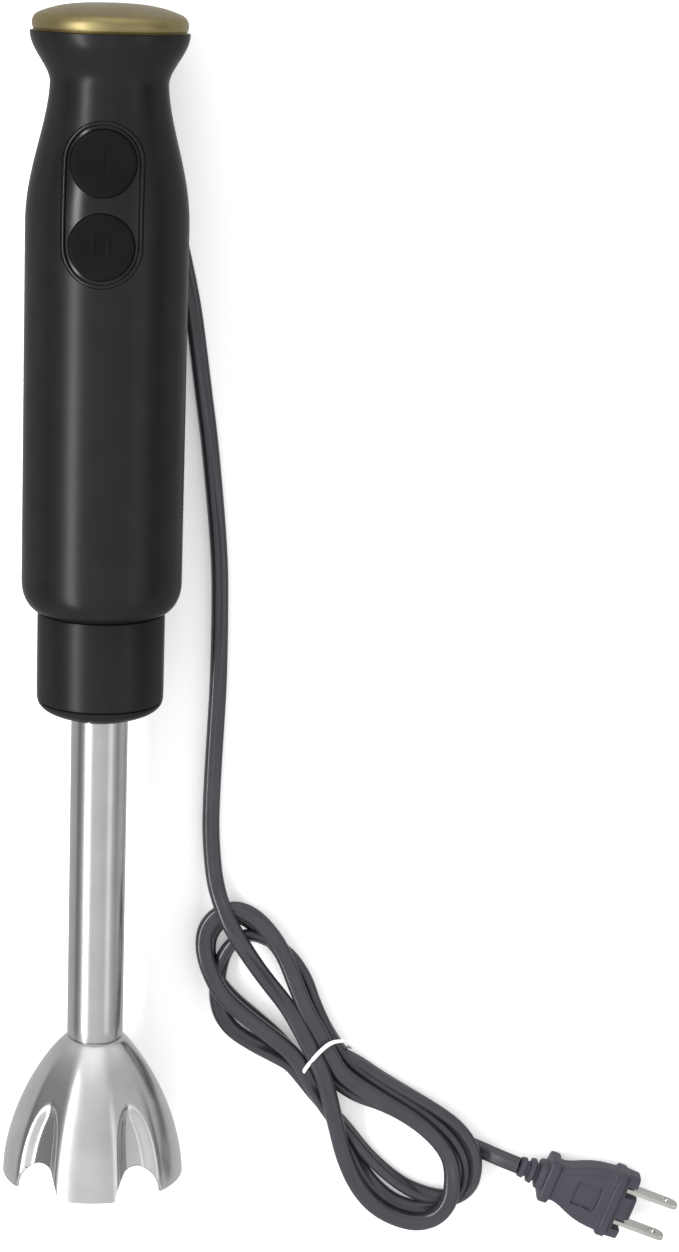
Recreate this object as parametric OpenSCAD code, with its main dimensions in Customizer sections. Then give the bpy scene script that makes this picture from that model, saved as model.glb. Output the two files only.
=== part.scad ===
// Immersion blender lying on its back, with its folded mains lead and two-pin plug.
// The tool is drawn upright (foot rim at z = 0, buttons facing -Y) and laid down by lay().

/* [Handle] */
// Diameter of the straight part of the handle
body_d = 53; // [50:0.5:56]
// Diameter of the waist below the cap
neck_d = 38; // [34:0.5:42]
// Diameter of the black rim that carries the cap
rim_d = 51.2; // [48:0.2:53]
// Wall thickness of the two handle shells
wall = 2.4; // [2:0.1:3]
// Diameter of the metallic cap disc
cap_d = 50; // [46:0.5:50.5]

/* [Buttons] */
// Diameter of each speed button
button_d = 21; // [18:0.5:21]
// Distance between the two button centres
button_pitch = 26; // [24:0.5:27]
// Travel of a button when it is pressed
button_travel = 2; // [1:0.1:2.2]
// Width of the stadium panel round the buttons
panel_w = 26; // [24:0.5:27]
// Height of the stadium panel round the buttons
panel_h = 52; // [50:0.5:53]

/* [Blending rod] */
// Outer diameter of the steel tube
tube_d = 19; // [18:0.5:20]
// Outer diameter of the black collar at the top of the rod
collar_d = 42.3; // [40:0.1:42.5]
// Radius of the bell at its rim
bell_r = 31.1; // [29:0.1:32]
// Height of the bell from its rim to the tube
bell_h = 49.2; // [46:0.2:52]
// Height of the arched openings in the bell's rim
arch_h = 10; // [8:0.5:11]
// Thickness of the bell's sheet steel
bell_wall = 1.2; // [1:0.1:1.5]
// Angle by which the bell is turned from the buttons in its locked position
bell_turn = 0; // [-4:0.1:4]

/* [Lead] */
// Diameter of the lead's solid
lead_d = 5.2; // [5:0.1:6]
// Distance between the plug's two blades
blade_pitch = 12.7; // [12.7:0.1:12.8]

/* [Hidden] */
$fn = 72;

body_r = body_d / 2;
neck_r = neck_d / 2;
rim_r = rim_d / 2;

// Heights along the tool, from the rim of the bell
z_collar = 162.2;
z_collar_seam = 168;
z_collar_top = 198.2;
z_body = 198.4;
z_shoulder = 326;
z_neck = 371.5;
z_rim = 387.2;
z_top = 396.2;
z_panel = 334.3;
z_button_1 = z_panel + button_pitch / 2;
z_button_2 = z_panel - button_pitch / 2;
corner_h = 9.8;
corner_r = 7;

// Petals of the bell, and half the angle that each foot and each opening takes up
petals = 5;
petal_step = 360 / petals;
foot_half = 18.6;
arch_half = petal_step / 2 - foot_half;
// Distance of a valley's flat facet from the axis, as a share of the petals' radius
valley_share = 0.954;
// The tool lies on the two rear feet of its bell and on the back of its handle
rear_reach = bell_out_r(foot_half, 0) * cos(36 - foot_half + bell_turn);
lie_tilt = asin((rear_reach - body_r) / (z_shoulder + 4));
lie_y = (rear_reach * sin(lie_tilt) - z_top * cos(lie_tilt)) / 2;

// Cord bush: centre of its tip and its direction, beside the back of the handle
bush_tip = [19.9, 22.4, 328];
bush_dir = [0.25, 0.11, -0.962];
bush_len = 26;

// Route of the lead along the surface, from the bush to the hank, in millimetres
cord_route = [
    [23, 117, 2.9], [29, 86, 2.7], [33.5, 55, 2.7], [37, 24, 2.7], [38.5, 0, 2.7],
    [38.5, -25, 2.7], [37.7, -55, 2.7], [37.2, -78, 3.2], [38.8, -96, 5.2], [41, -107, 7]];
tail_start = [136, -195.6, 6.8];
plug_pos = [149.5, -202.3, 6.8];
plug_turn = -19.6;
plug_len = 58;
hank_tie = [77, -166];
hank_upper = [48, -124];
hank_lower = [112.5, -205];
hank_z = [1.4, 12.4];
tie_turn = 38;

// ---------- helpers ----------

function ease(t) = (1 - cos(180 * min(max(t, 0), 1))) / 2;
function unit(v) = v / norm(v);

// Outer radius of the handle at a height along the tool
function handle_r(z) =
    z < z_body + corner_h
        ? body_r - corner_r + corner_r * sqrt(1 - pow((z_body + corner_h + 0.2 - z) / (corner_h + 0.4), 2))
    : z < z_shoulder ? body_r
    : z < z_neck ? neck_r + (body_r - neck_r) * ease(pow((z_neck + 0.5 - z) / 46, 0.9))
    : neck_r + (rim_r - neck_r) * ease(pow((z - z_neck + 0.5) / 16.2, 0.92));

handle_levels = concat(
    [for (z = [z_body : 1.4 : z_body + corner_h]) z],
    [z_body + corner_h, z_shoulder - 8],
    [for (z = [z_shoulder : 3.25 : z_neck]) z],
    [for (z = [z_neck + 1.3 : 1.6 : z_rim - 0.4]) z],
    [z_rim]);

// Where a point of the upright tool comes to lie
function lay_pt(p) = [
    p[0],
    -p[1] * sin(lie_tilt) + p[2] * cos(lie_tilt) + lie_y,
    -p[1] * cos(lie_tilt) - p[2] * sin(lie_tilt) + rear_reach * cos(lie_tilt)];

module lay() {
    translate([0, lie_y, rear_reach * cos(lie_tilt)])
        rotate([-90 - lie_tilt, 0, 0])
            children();
}

// Turns the Z axis of its children to a direction
module aim(dir) {
    rotate([0, acos(dir[2] / norm(dir)), atan2(dir[1], dir[0])]) children();
}

module ring(z0, z1, r_out, r_in) {
    translate([0, 0, z0])
        difference() {
            cylinder(h = z1 - z0, r = r_out);
            translate([0, 0, -1]) cylinder(h = z1 - z0 + 2, r = r_in);
        }
}

module disc(z0, z1, r) {
    translate([0, 0, z0]) cylinder(h = z1 - z0, r = r);
}

// Revolved slice of the handle between two offsets from its outer surface
module handle_skin(inset_out, inset_in, levels = handle_levels) {
    rotate_extrude()
        polygon(concat(
            [for (z = levels) [handle_r(z) - inset_out, z]],
            [for (i = [len(levels) - 1 : -1 : 0]) [handle_r(levels[i]) - inset_in, levels[i]]]));
}

module half_skin(start) {
    rotate_extrude(angle = 180, start = start)
        polygon(concat(
            [for (z = handle_levels) [handle_r(z), z]],
            [for (i = [len(handle_levels) - 1 : -1 : 0])
                [handle_r(handle_levels[i]) - wall, handle_levels[i]]]));
}

// Upright stadium through the front of the handle
module stadium(w, h, y0, y1) {
    translate([0, y1, z_panel])
        rotate([90, 0, 0])
            linear_extrude(y1 - y0) {
                square([w, h - w], center = true);
                for (s = [-1, 1]) translate([0, s * (h - w) / 2]) circle(d = w);
            }
}

module along_y(x, z, y0, y1, r) {
    translate([x, y1, z]) rotate([90, 0, 0]) cylinder(h = y1 - y0, r = r);
}

function cross_frame(t) =
    let(side = unit(cross(t, [0, 0, 1])), up = cross(side, t)) [side, up];

// Point of a smooth curve through a list of points
function curve_pt(p, k, t) =
    let(a = p[max(k - 1, 0)], b = p[k], c = p[k + 1], d = p[min(k + 2, len(p) - 1)])
    b + t * 0.5 * (c - a) + t * t * (a - 2.5 * b + 2 * c - 0.5 * d)
    + t * t * t * (1.5 * b - 1.5 * c + 0.5 * d - 0.5 * a);

function curve(p, n) = concat(
    [for (k = [0 : len(p) - 2]) for (j = [0 : n - 1]) curve_pt(p, k, j / n)],
    [p[len(p) - 1]]);

// Round tube along a list of points
module swept(path, r, sides) {
    n = len(path);
    rings = [for (i = [0 : n - 1])
        let(t = unit(path[min(i + 1, n - 1)] - path[max(i - 1, 0)]), f = cross_frame(t))
        for (j = [0 : sides - 1])
            path[i] + r * cos(360 * j / sides) * f[0] + r * sin(360 * j / sides) * f[1]];
    quads = [for (i = [0 : n - 2]) for (j = [0 : sides - 1])
        let(a = i * sides + j, b = i * sides + (j + 1) % sides)
        each [[a, b, b + sides], [a, b + sides, a + sides]]];
    caps = [[for (j = [sides - 1 : -1 : 0]) j], [for (j = [0 : sides - 1]) (n - 1) * sides + j]];
    polyhedron(rings, concat(quads, caps), convexity = 6);
}

// ---------- handle ----------

screw_x_low = 21.2;
screw_z_low = 245;
screw_x_high = 19;
screw_z_high = 298;
screw_places = [[screw_x_low, screw_z_low], [-screw_x_low, screw_z_low],
                [screw_x_high, screw_z_high], [-screw_x_high, screw_z_high]];

module front_shell() {
    color("#1b1b1d") lay()
        difference() {
            union() {
                half_skin(180);
                for (p = screw_places)
                    intersection() {
                        along_y(p[0], p[1], -20, 0, 2.6);
                        disc(z_body, z_rim, body_r - wall + 0.2);
                    }
            }
            stadium(panel_w + 0.1, panel_h + 0.1, -40, -5);
            for (p = screw_places) along_y(p[0], p[1], -7, 1, 1.1);
        }
}

boss_r = 6;
bush_in = bush_tip - bush_len * bush_dir;
boss_face = bush_tip - 19 * bush_dir;
boss_end = boss_face - 9 * bush_dir;

// Way of the inner leads from the bush into the handle
lead_way = [-6, -9, 3];

// Round-ended housing of the cord bush, along Z
module cord_boss() {
    rotate_extrude()
        polygon(concat(
            [[0, 9], [0, -boss_r]],
            [for (a = [-75 : 15 : 0]) [boss_r * cos(a), boss_r * sin(a)]],
            [[boss_r, 9]]));
}

module rear_shell() {
    color("#1b1b1d") lay()
        difference() {
            union() {
                half_skin(0);
                for (p = screw_places)
                    intersection() {
                        along_y(p[0], p[1], 0, 20, 2.6);
                        disc(z_body, z_rim, body_r - wall + 0.2);
                    }
                translate(boss_end) aim(bush_dir) cord_boss();
            }
            for (p = screw_places) {
                along_y(p[0], p[1], -1, 6, 1.4);
                along_y(p[0], p[1], 6, 30, 2.3);
            }
            translate(bush_in) aim(bush_dir) {
                cylinder(h = 12, r = 4.8);
                cylinder(h = bush_len, r = 4.1);
            }
            translate(bush_in + 2 * bush_dir) aim(lead_way) cylinder(h = 12, r = 2.2);
        }
}

module top_cap() {
    color("#b7a06a") lay()
        rotate_extrude()
            polygon(concat(
                [[0, z_rim + 6.4], [18, z_rim + 4.2], [20.4, z_rim + 0.2], [19.6, z_rim - 5],
                 [21, z_rim - 5], [22, z_rim], [cap_d / 2 - 0.2, z_rim], [cap_d / 2, z_rim + 0.2]],
                [for (a = [0 : 11 : 66])
                    [cap_d / 2 - 3.6 + 3.6 * cos(a), z_rim + 2.4 + 3.6 * sin(a)]],
                [for (k = [1 : 9]) let(t = 1 - k / 9, r = (cap_d / 2 - 2.14) * t)
                    [r, z_rim + 5.69 + 3.31 * (1 - pow(t, 3))]]));
}

panel_inset = 0.7;

module button_panel() {
    color("#101012") lay()
        difference() {
            union() {
                intersection() {
                    stadium(panel_w, panel_h, -40, -5);
                    handle_skin(panel_inset, wall + 0.4);
                }
                intersection() {
                    difference() {
                        stadium(panel_w, panel_h, -40, -5);
                        stadium(panel_w - 2, panel_h - 2, -41, -4);
                    }
                    handle_skin(-0.25, wall + 0.4);
                }
            }
            for (z = [z_button_1, z_button_2]) along_y(0, z, -40, 0, button_d / 2 + 0.25);
        }
}

// A dished round button with raised bars on its face
module button(z, flange_y, stem_y, bars) {
    face = handle_r(z);
    difference() {
        union() {
            intersection() {
                along_y(0, z, -40, flange_y, button_d / 2);
                handle_skin(-1, 14);
            }
            along_y(0, z, flange_y, flange_y + 1.4, button_d / 2 + 1.2);
            along_y(0, z, flange_y + 1, stem_y, 2.5);
        }
        translate([0, -face - 29.4, z]) sphere(r = 30);
    }
    for (x = bars)
        intersection() {
            translate([x - 0.6, -40, z - 3.5]) cube([1.2, 40 + flange_y - 2, 7]);
            translate([0, -face - 29.4, z]) difference() {
                sphere(r = 30.5);
                sphere(r = 29.5);
            }
            handle_skin(-1.2, 14);
        }
}

module speed_button_1() {
    color("#222224") lay() button(z_button_1, -16.2, -13.8, [0]);
}

module speed_button_2() {
    color("#222224") lay() button(z_button_2, -20.2, -14.9, [-2.35, 2.35]);
}

// Compression spring between a button's flange and the board, with its axis along Y
module button_spring(z, y0, y1, turns) {
    steps = turns * 10;
    path = [for (i = [0 : steps])
        [6.2 * cos(36 * i), y0 + 0.4 + (y1 - y0 - 0.8) * i / steps, z + 6.2 * sin(36 * i)]];
    swept(path, 0.35, 6);
}

module button_spring_1() {
    color("silver") lay() button_spring(z_button_1, -14.7, -9.1, 3);
}

module button_spring_2() {
    color("silver") lay() button_spring(z_button_2, -18.7, -9.1, 5);
}

module switch_board() {
    color("#2f6b3c") lay()
        difference() {
            translate([-10.5, -9, 306]) cube([21, 1.6, 54]);
            for (x = [-8, 8]) for (z = [309, 357]) along_y(x, z, -10, -6, 1.2);
        }
}

module button_switches() {
    color("#d8d2c4") lay()
        for (z = [z_button_1, z_button_2]) {
            translate([-3, -11.4, z - 3]) cube([6, 2.4, 6]);
            along_y(0, z, -11.7, -11.3, 1.7);
        }
}

module rectifier() {
    color("#2b2b2b") lay() translate([-6, -7.4, 310]) cube([12, 5, 9]);
}

module suppressor() {
    color("#c9a227") lay() translate([-6.5, -7.4, 323]) cube([13, 6, 9]);
}

module cord_clamp() {
    color("#3a3a3c") lay()
        difference() {
            translate([-2, 8, 347]) cube([16, 5, 6]);
            for (x = [0.5, 11.5]) along_y(x, 350, 7, 14, 1.1);
        }
}

module clamp_screws() {
    color("silver") lay()
        for (x = [0.5, 11.5]) {
            along_y(x, 350, 6.2, 8, 2);
            along_y(x, 350, 7.9, 13, 1.05);
        }
}

module inner_leads() {
    color("#7a1f1f") lay()
        for (x = [-4, 4])
            swept(curve([[x * 0.4 + 5, 5.8, 345], [x * 0.6 + 3, 2, 343], [x, 0, 338],
                         [x, -3.4, 336.5], [x, -7.2, 336]], 4), 0.8, 6);
}

module cord_bush() {
    color("#161618") lay()
        translate(bush_in) aim(bush_dir)
            rotate_extrude()
                polygon([
                    [0, 0], [4.7, 0], [4.7, 7], [4.2, 7.6], [4.1, 9.4], [3.4, 9.6], [3.4, 10.8],
                    [3.95, 11], [3.85, 13], [3.2, 13.2], [3.2, 14.4], [3.7, 14.6], [3.6, 16.6],
                    [3.05, 16.8], [3.05, 18], [3.45, 18.2], [3.3, 20.4], [2.95, 20.6],
                    [2.95, 21.8], [3.2, 22], [3.0, bush_len - 0.3], [2.6, bush_len], [0, bush_len]]);
}

module shell_screws() {
    color("silver") lay()
        for (p = screw_places) {
            along_y(p[0], p[1], 6, 8, 2.2);
            along_y(p[0], p[1], -6.5, 6.1, 1.05);
        }
}

// ---------- motor ----------

z_can = 218;
z_can_top = 272;
can_r = 18.4;
shaft_r = 1.585;
bush_bore_r = 1.62;
core_z = [232, 258];

module motor_can() {
    color("#9a9ca0") lay()
        difference() {
            union() {
                ring(z_can, z_can_top, can_r, can_r - 1.2);
                ring(z_can, z_can + 1.5, can_r - 1, 3.5);
                ring(z_can, z_can + 5, 5.5, 3.5);
            }
            for (x = [-12, 12]) translate([x, 0, z_can - 1]) cylinder(h = 4, r = 1.5);
        }
}

module motor_magnets() {
    color("#3b3b40") lay()
        for (a = [-65, 115])
            rotate_extrude(angle = 130, start = a)
                translate([13.2, 226]) square([3.9, 38]);
}

module motor_end_cap() {
    color("#8a7a5a") lay() {
        ring(z_can_top, z_can_top + 3, can_r, 3.5);
        ring(z_can_top, z_can_top + 5, 5.2, 3.5);
        for (a = [0, 180])
            rotate([0, 0, a])
                difference() {
                    translate([5.5, -2.6, 265.3]) cube([6.5, 5.2, z_can_top - 265.3]);
                    translate([4, -1.5, 266.5]) cube([7, 3, 4]);
                }
    }
}

module motor_bushes() {
    color("#b08d57") lay() {
        ring(z_can, z_can + 5, 3.5, bush_bore_r);
        ring(z_can_top, z_can_top + 5, 3.5, bush_bore_r);
    }
}

module carbon_brushes() {
    color("#2a2a2a") lay()
        for (a = [0, 180])
            rotate([0, 0, a]) translate([4.6, -1.5, 266.5]) cube([6.4, 3, 4]);
}

module armature_core() {
    color("#6f7378") lay()
        difference() {
            ring(core_z[0], core_z[1], 12.7, shaft_r);
            for (k = [0 : 4])
                rotate([0, 0, 72 * k]) {
                    translate([7.8, 0, core_z[0] - 1]) cylinder(h = 28, r = 2.75);
                    translate([8, -0.8, core_z[0] - 1]) cube([6, 1.6, 28]);
                }
        }
}

module armature_windings() {
    color("#b5662a") lay() {
        for (k = [0 : 4])
            rotate([0, 0, 72 * k]) translate([7.8, 0, 228]) cylinder(h = 34, r = 2.6);
        ring(228, core_z[0] - 0.1, 10.6, 3.4);
        ring(core_z[1] + 0.1, 262, 10.6, 3.4);
    }
}

module commutator() {
    color("#c07a3e") lay() ring(264.4, 271.4, 4.5, shaft_r);
}

module motor_shaft() {
    color("#c8cacc") lay() disc(208, 289, shaft_r);
}

module cooling_fan() {
    color("#e4e2da") lay() {
        ring(280, 281.2, 16.5, shaft_r);
        ring(280, 288, 4.2, shaft_r);
        for (k = [0 : 8])
            rotate([0, 0, 40 * k]) translate([4, -0.5, 281]) cube([12, 1, 6]);
    }
}

module motor_mount() {
    color("#4a4a4e") lay()
        difference() {
            ring(214.6, 217.9, 23.8, 7.4);
            for (x = [-1, 1]) translate([12 * x, 0, 213]) cylinder(h = 6, r = 1.5);
            for (k = [0 : 3])
                rotate([0, 0, 45 + 90 * k]) translate([17, 0, 213]) cylinder(h = 6, r = 3);
        }
}

module motor_screws() {
    color("silver") lay()
        for (x = [-12, 12])
            translate([x, 0, 0]) {
                disc(212.4, 214.6, 2.6);
                disc(214.5, 219.4, 1.45);
            }
}

module motor_damper() {
    color("#202020") lay() ring(262, 268, 24.05, can_r + 0.02);
}

module drive_socket() {
    color("#e9e6dc") lay()
        difference() {
            disc(199, 214, 7);
            disc(207.5, 215, shaft_r);
            for (a = [0, 90])
                rotate([0, 0, a]) translate([-5.3, -1.65, 198]) cube([10.6, 3.3, 9.5]);
        }
}

lug_half = 10;
bayonet_turn = 30;

module bayonet_ring() {
    color("#303034") lay()
        difference() {
            union() {
                disc(198.7, 212, 18.3);
                disc(208.4, 211, 23.8);
            }
            disc(198, 213, 16.1);
            for (k = [0 : 2])
                rotate([0, 0, 120 * k]) {
                    rotate_extrude(angle = 2 * lug_half + bayonet_turn + 2, start = -lug_half - 1)
                        translate([15, 203]) square([2.5, 3]);
                    rotate_extrude(angle = 2 * lug_half + 2, start = bayonet_turn - lug_half - 1)
                        translate([15, 198]) square([2.5, 6]);
                }
        }
}

// ---------- rod ----------

collar_r = collar_d / 2;

// Rounded underside of the collar
function collar_under_r(z) =
    10 + (collar_r - 10.05) * pow(max(1 - pow((171 - z) / 8.85, 3.5), 0), 0.9);

module rod_collar() {
    color("#1b1b1d") lay() {
        rotate_extrude()
            polygon(concat(
                [[16.6, z_collar_seam], [collar_under_r(z_collar_seam), z_collar_seam]],
                [for (z = [168.6 : 0.8 : 171]) [collar_under_r(z), z]],
                [[collar_r, 172], [collar_r, z_collar_top - 1], [collar_r - 1, z_collar_top],
                 [16, z_collar_top], [16, 209.6], [15.6, 210], [14, 210], [14, 195.8],
                 [18.8, 195.8], [18.8, z_collar_seam + 2.4], [16.6, z_collar_seam + 2.4]]));
        for (k = [0 : 2])
            rotate_extrude(angle = 2 * lug_half, start = 120 * k - lug_half)
                translate([15.8, 203.2]) square([1.4, 2.6]);
    }
}

module collar_cap() {
    color("#1b1b1d") lay()
        rotate_extrude()
            polygon(concat(
                [[tube_d / 2, z_collar], [collar_under_r(z_collar + 0.2), z_collar]],
                [for (z = [z_collar + 0.8 : 0.8 : z_collar_seam - 0.2]) [collar_under_r(z), z]],
                [[collar_under_r(z_collar_seam) - 0.25, z_collar_seam], [16.5, z_collar_seam],
                 [16.5, z_collar_seam + 4], [14.6, z_collar_seam + 4],
                 [14.6, z_collar_seam - 2.5], [tube_d / 2, z_collar_seam - 2.5]]));
}

z_tube_top = 180;

module tube() {
    color("#c9cbcd") lay() ring(bell_h, z_tube_top, tube_d / 2, tube_d / 2 - 0.8);
}

module tube_carrier() {
    color("#4a4a4e") lay()
        difference() {
            ring(174, z_tube_top, 18.8, tube_d / 2);
            for (k = [0 : 5])
                rotate([0, 0, 60 * k]) translate([14, 0, 173]) cylinder(h = 8, r = 2.4);
        }
}

drive_r = 2;
bearing_bore_r = 2.04;
tube_in_r = tube_d / 2 - 0.8;

module upper_bearing() {
    color("#b08d57") lay() ring(171, z_tube_top, tube_in_r, bearing_bore_r);
}

module middle_bearing() {
    color("#d9d4c4") lay() ring(108, 116, tube_in_r, bearing_bore_r);
}

// Bell: petals stand out from valleys, and the rim rises in an arch at each valley
function bell_petal_r(z) =
    tube_d / 2 + 0.1 + (bell_r - tube_d / 2 - 0.1)
        * pow(1 - pow(min(z / bell_h, 1), 1.75), 0.82);
// Half angle of the arched hollow above each opening
function hollow_half(z) = 16 * sqrt(max(1 - pow(z / 31, 4), 0));
function off_petal(a) = abs(((a % petal_step) + petal_step * 1.5) % petal_step - petal_step / 2);
function bell_out_r(a, z) =
    let(off = off_petal(a), petal = bell_petal_r(z),
        valley = valley_share * petal / cos(petal_step / 2 - off),
        blend = max(1 - 2 * abs(petal - valley), 0))
    min(petal, valley) - 0.125 * pow(blend, 2)
    - 2 * ease((hollow_half(z) - petal_step / 2 + off) / 9) * ease((32 - z) / 8);

// Angles round one petal and its opening: even on the foot, closer at the arch's ends
foot_steps = 6;
arch_steps = 12;
bell_angles = [for (k = [0 : petals - 1]) each concat(
    [for (i = [0 : foot_steps - 1]) petal_step * k - foot_half + 2 * foot_half * i / foot_steps],
    [for (i = [0 : arch_steps - 1])
        petal_step * (k + 0.5) - arch_half * cos(180 * i / arch_steps)])];

function rim_z(a) =
    let(d = petal_step / 2 - off_petal(a))
    d >= arch_half - 0.01 ? 0 : arch_h * pow(1 - pow(d / arch_half, 2.2), 0.6);

bell_rows = 12;

module bell_guard() {
    cols = len(bell_angles);
    layer = cols * (bell_rows + 1);
    pts = [for (side = [0, 1]) for (row = [0 : bell_rows]) for (a = bell_angles)
        let(z0 = rim_z(a),
            z = z0 + (bell_h - z0) * row / bell_rows,
            r = bell_out_r(a, z) - side * bell_wall)
        [r * cos(a), r * sin(a), z]];
    walls = [for (side = [0, 1]) for (row = [0 : bell_rows - 1]) for (j = [0 : cols - 1])
        let(a = side * layer + row * cols + j, b = side * layer + row * cols + (j + 1) % cols)
        each side == 0
            ? [[a, a + cols, b + cols], [a, b + cols, b]]
            : [[a, b + cols, a + cols], [a, b, b + cols]]];
    rims = [for (row = [0, bell_rows]) for (j = [0 : cols - 1])
        let(a = row * cols + j, b = row * cols + (j + 1) % cols)
        each row == 0
            ? [[a, b, b + layer], [a, b + layer, a + layer]]
            : [[a, b + layer, b], [a, a + layer, b + layer]]];
    color("#c9cbcd") lay()
        rotate([0, 0, bell_turn - 90])
            polyhedron(pts, concat(walls, rims), convexity = 10);
}

module bearing_housing() {
    color("#b9bbbd") lay() {
        ring(30, bell_h + 0.5, tube_in_r - 0.4, 5.6);
        ring(bell_h + 0.1, bell_h + 8, tube_in_r, 5.6);
    }
}

module lower_bearing() {
    color("#b08d57") lay() ring(36, 54, 5.6, bearing_bore_r);
}

module lip_seal() {
    color("#5a1d1d") lay() ring(30.2, 35.9, 5.6, drive_r + 0.05);
}

module drive_shaft() {
    color("#d0d2d4") lay() disc(9, 196, drive_r);
}

module drive_plug() {
    color("#e9e6dc") lay() {
        ring(190, 199, 3.6, drive_r);
        difference() {
            for (a = [0, 90])
                rotate([0, 0, a]) translate([-5, -1.5, 195]) cube([10, 3, 12]);
            disc(194, 196, drive_r);
        }
    }
}

module thrust_washer() {
    color("#d0d2d4") lay() ring(28.6, 29.6, 4.6, drive_r);
}

module blade_hub() {
    color("#c4c6c8") lay() ring(13.6, 27, 4.2, drive_r);
}

// Two-winged blade, one tip turned up and the other down
module blade() {
    color("#dfe1e3") lay()
        difference() {
            union() {
                disc(12.2, 13.6, 5);
                for (s = [-1, 1])
                    rotate([90, 0, s == 1 ? 0 : 180])
                        translate([0, 0, -3.5])
                            linear_extrude(7)
                                polygon([[2, 12.2], [11, 12.2], [18, 12.2 + 2.8 * s],
                                         [18, 13.6 + 2.8 * s], [11, 13.6], [2, 13.6]]);
            }
            disc(11, 15, drive_r);
        }
}

module blade_nut() {
    color("#c4c6c8") lay()
        difference() {
            translate([0, 0, 9.6]) cylinder(h = 2.6, r = 3.8, $fn = 6);
            disc(9, 13, drive_r);
        }
}

// ---------- lead and plug ----------

module cord() {
    color("#232326")
        swept(curve(concat([lay_pt(bush_tip)], cord_route), 2), lead_d / 2, 10);
}

// Half of the hank's outline, from a loop to the tie
module hank_lobe(at, r) {
    hull() {
        translate(at) circle(r = r, $fn = 32);
        translate(hank_tie) circle(r = 9.5, $fn = 32);
    }
}

module cord_hank() {
    color("#232326")
        translate([0, 0, hank_z[0]])
            linear_extrude(hank_z[1] - hank_z[0]) {
                hank_lobe(hank_upper, 17.5);
                hank_lobe(hank_lower, 23.6);
            }
}

module cord_tail() {
    color("#232326")
        swept([tail_start, plug_pos - 5 * [cos(plug_turn), sin(plug_turn), 0], plug_pos],
              lead_d / 2, 10);
}

module wire_tie() {
    color("white")
        translate([hank_tie[0], hank_tie[1], (hank_z[0] + hank_z[1]) / 2])
            rotate([0, 0, tie_turn])
                rotate([90, 0, 0])
                    translate([0, 0, -0.6])
                        linear_extrude(1.2)
                            difference() {
                                square([23.4, 13.6], center = true);
                                square([21, 11.2], center = true);
                            }
}

module plug_frame() {
    translate(plug_pos) rotate([0, 0, plug_turn]) children();
}

// Flat slice of the plug: half width w0 at x0 growing to w1 at x1, and t thick
module plug_slice(x0, x1, w0, w1, t) {
    translate([0, 0, -t / 2])
        linear_extrude(t)
            polygon([[x0, -w0], [x1, -w1], [x1, w1], [x0, w0]]);
}

module plug_body() {
    color("#26262b")
        plug_frame() difference() {
            union() {
                rotate([0, 90, 0])
                    rotate_extrude()
                        polygon([[0, 0], [3.4, 0], [3.6, 2], [2.9, 2.2], [2.9, 3.4], [4, 3.6],
                                 [4.3, 5.4], [3.3, 5.6], [3.3, 6.8], [4.8, 7], [5, 9.6], [0, 9.6]]);
                plug_slice(9.5, 13, 8.2, 8.2, 12.8);
                plug_slice(13, 27, 6.8, 11, 11.6);
                plug_slice(27, 33.5, 11, 11.8, 11.6);
                plug_slice(33.5, 36.6, 12.7, 12.7, 13.4);
                plug_slice(36.6, 41.7, 12.3, 12.1, 9.6);
                plug_slice(41.7, 43.4, 4.8, 4.6, 7);
            }
            for (s = [-1, 1])
                translate([20.7, -4.5, s * 5.8 - 1]) cube([9.4, 9, 2]);
            for (s = [-1, 1])
                translate([38.2, s * blade_pitch / 2 - 2.1, -5.5]) cube([8, 4.2, 11]);
            for (s = [-1, 1])
                translate([30, s * blade_pitch / 2 - 0.75, -3.175]) cube([12, 1.5, 6.35]);
        }
}

module plug_blades() {
    color("#cfcfc8")
        plug_frame()
            for (s = [-1, 1])
                translate([0, s * blade_pitch / 2, 0])
                    difference() {
                        translate([30, -0.75, -3.175]) cube([plug_len - 30, 1.5, 6.35]);
                        translate([plug_len - 4.6, 2, 0]) rotate([90, 0, 0]) cylinder(h = 4, r = 1.6);
                    }
}

front_shell();
rear_shell();
top_cap();
button_panel();
speed_button_1();
speed_button_2();
button_spring_1();
button_spring_2();
switch_board();
button_switches();
rectifier();
suppressor();
inner_leads();
cord_clamp();
clamp_screws();
cord_bush();
shell_screws();
motor_can();
motor_magnets();
motor_end_cap();
motor_bushes();
carbon_brushes();
armature_core();
armature_windings();
commutator();
motor_shaft();
cooling_fan();
motor_mount();
motor_screws();
motor_damper();
drive_socket();
bayonet_ring();
rod_collar();
collar_cap();
tube();
tube_carrier();
upper_bearing();
middle_bearing();
bell_guard();
bearing_housing();
lower_bearing();
lip_seal();
drive_shaft();
drive_plug();
thrust_washer();
blade_hub();
blade();
blade_nut();
cord();
cord_hank();
cord_tail();
wire_tie();
plug_body();
plug_blades();
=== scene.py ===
import math

import bmesh
import bpy
import numpy as np
from mathutils import Matrix, Vector


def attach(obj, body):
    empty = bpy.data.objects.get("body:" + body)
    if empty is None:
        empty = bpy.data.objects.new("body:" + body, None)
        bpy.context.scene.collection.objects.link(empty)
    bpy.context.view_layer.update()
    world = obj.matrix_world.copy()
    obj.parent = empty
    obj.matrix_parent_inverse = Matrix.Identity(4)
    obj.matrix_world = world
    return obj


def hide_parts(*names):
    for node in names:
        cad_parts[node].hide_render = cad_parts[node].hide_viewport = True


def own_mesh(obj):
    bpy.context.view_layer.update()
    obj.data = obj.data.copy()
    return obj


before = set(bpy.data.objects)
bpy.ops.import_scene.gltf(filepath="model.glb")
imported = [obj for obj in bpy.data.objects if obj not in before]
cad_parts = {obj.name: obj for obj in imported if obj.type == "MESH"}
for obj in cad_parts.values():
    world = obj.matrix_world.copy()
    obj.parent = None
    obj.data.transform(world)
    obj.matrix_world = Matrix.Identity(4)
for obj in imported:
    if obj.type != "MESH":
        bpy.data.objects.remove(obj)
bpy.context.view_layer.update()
MM = 0.001

# ---------- the tool's own frame: upright, foot rim at z = 0, buttons facing -Y, in mm ----------

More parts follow.
